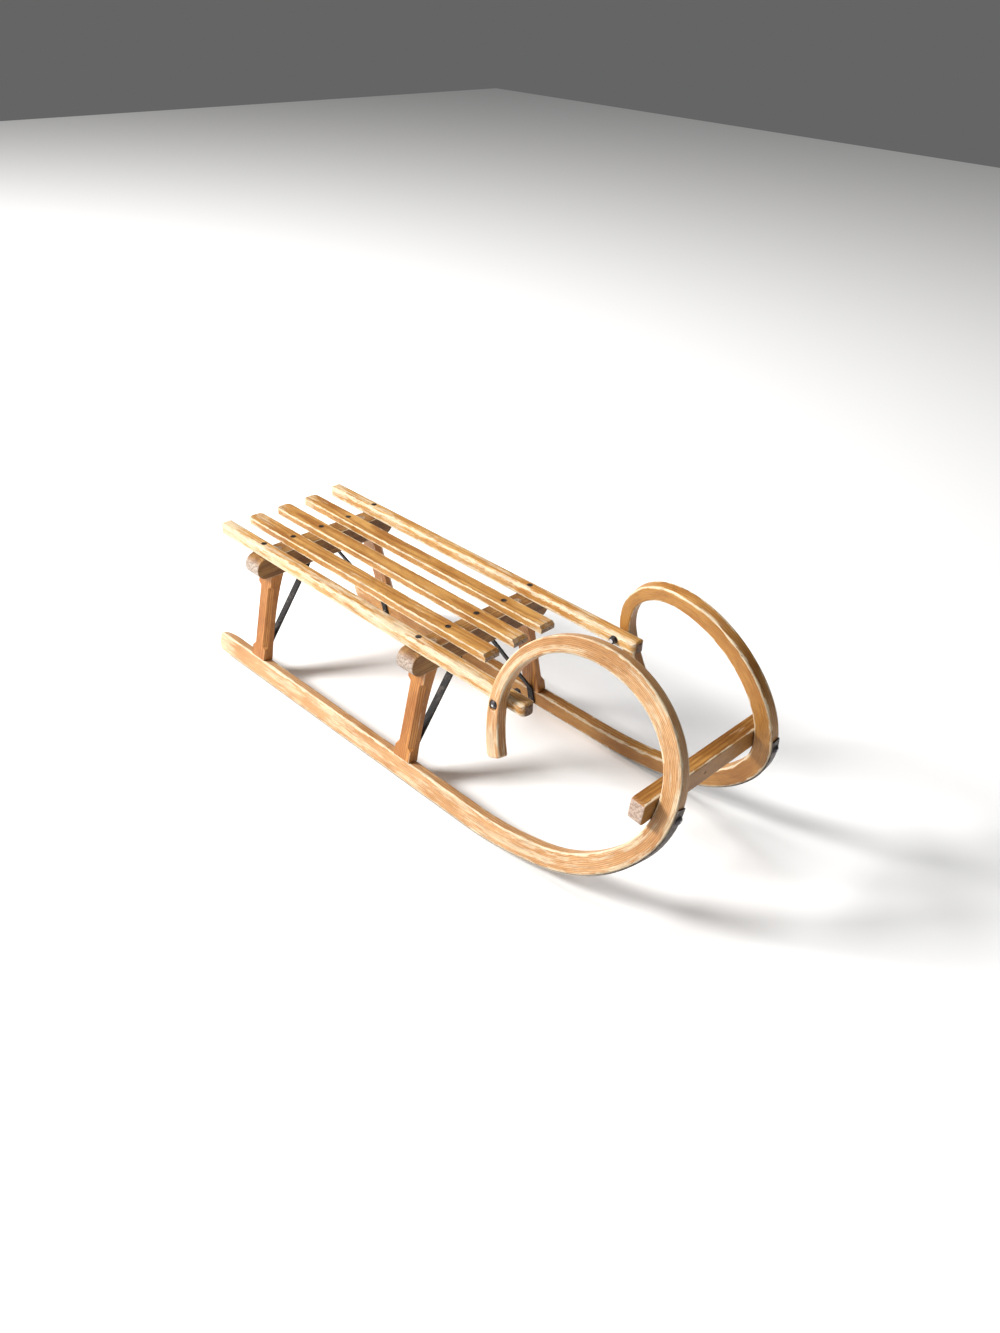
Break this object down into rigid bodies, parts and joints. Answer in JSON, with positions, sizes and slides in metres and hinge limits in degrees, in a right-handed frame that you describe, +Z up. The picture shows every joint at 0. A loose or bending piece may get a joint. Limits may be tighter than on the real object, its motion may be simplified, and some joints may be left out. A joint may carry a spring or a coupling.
{
  "type": "wooden toboggan",
  "caption": "Slatted wooden sled with splayed legs, iron braces and bentwood runners that curl up into large horns, with a toe bar between them.",
  "frame": {"origin": "on the ground, under the middle of the bounding box", "axes": "+X forward to the horns, +Y to the left, +Z up"},
  "size_m": [1.1641, 0.3864, 0.4435],
  "materials": {
    "runner_wood": "worn clear varnish over bent ash, pale on the outer faces",
    "rail_wood": "worn clear varnish, pale along the edges",
    "slat_wood": "golden varnish with dark grain",
    "leg_wood": "old varnish",
    "bearer_wood": "dark old varnish, weathered end grain",
    "toe_bar_wood": "old varnish, weathered end grain",
    "shoe_steel": "dull steel, rusty at the front",
    "brace_iron": "black paint worn to grey",
    "screw_steel": "tarnished",
    "bolt_steel": "dark with a bright worn crown"
  },
  "bodies": {
    "root": {"bearer_front": "bearer_wood", "bearer_rear": "bearer_wood", "brace_front_left": "brace_iron", "brace_front_right": "brace_iron", "brace_rear_left": "brace_iron", "brace_rear_right": "brace_iron", "brace_screws": "screw_steel", "horn_bolt_nuts": "bolt_steel", "horn_bolts": "bolt_steel", "leg_front_left": "leg_wood", "leg_front_right": "leg_wood", "leg_rear_left": "leg_wood", "leg_rear_right": "leg_wood", "rail_screws": "screw_steel", "runner_left": "runner_wood", "runner_right": "runner_wood", "runner_shoe_left": "shoe_steel", "runner_shoe_right": "shoe_steel", "seat_rail_left": "rail_wood", "seat_rail_right": "rail_wood", "seat_slat_centre": "slat_wood", "seat_slat_left": "slat_wood", "seat_slat_right": "slat_wood", "shoe_screws": "screw_steel", "slat_screws": "screw_steel", "toe_bar": "toe_bar_wood", "toe_bar_screws": "screw_steel"}
  },
  "joints": []
}
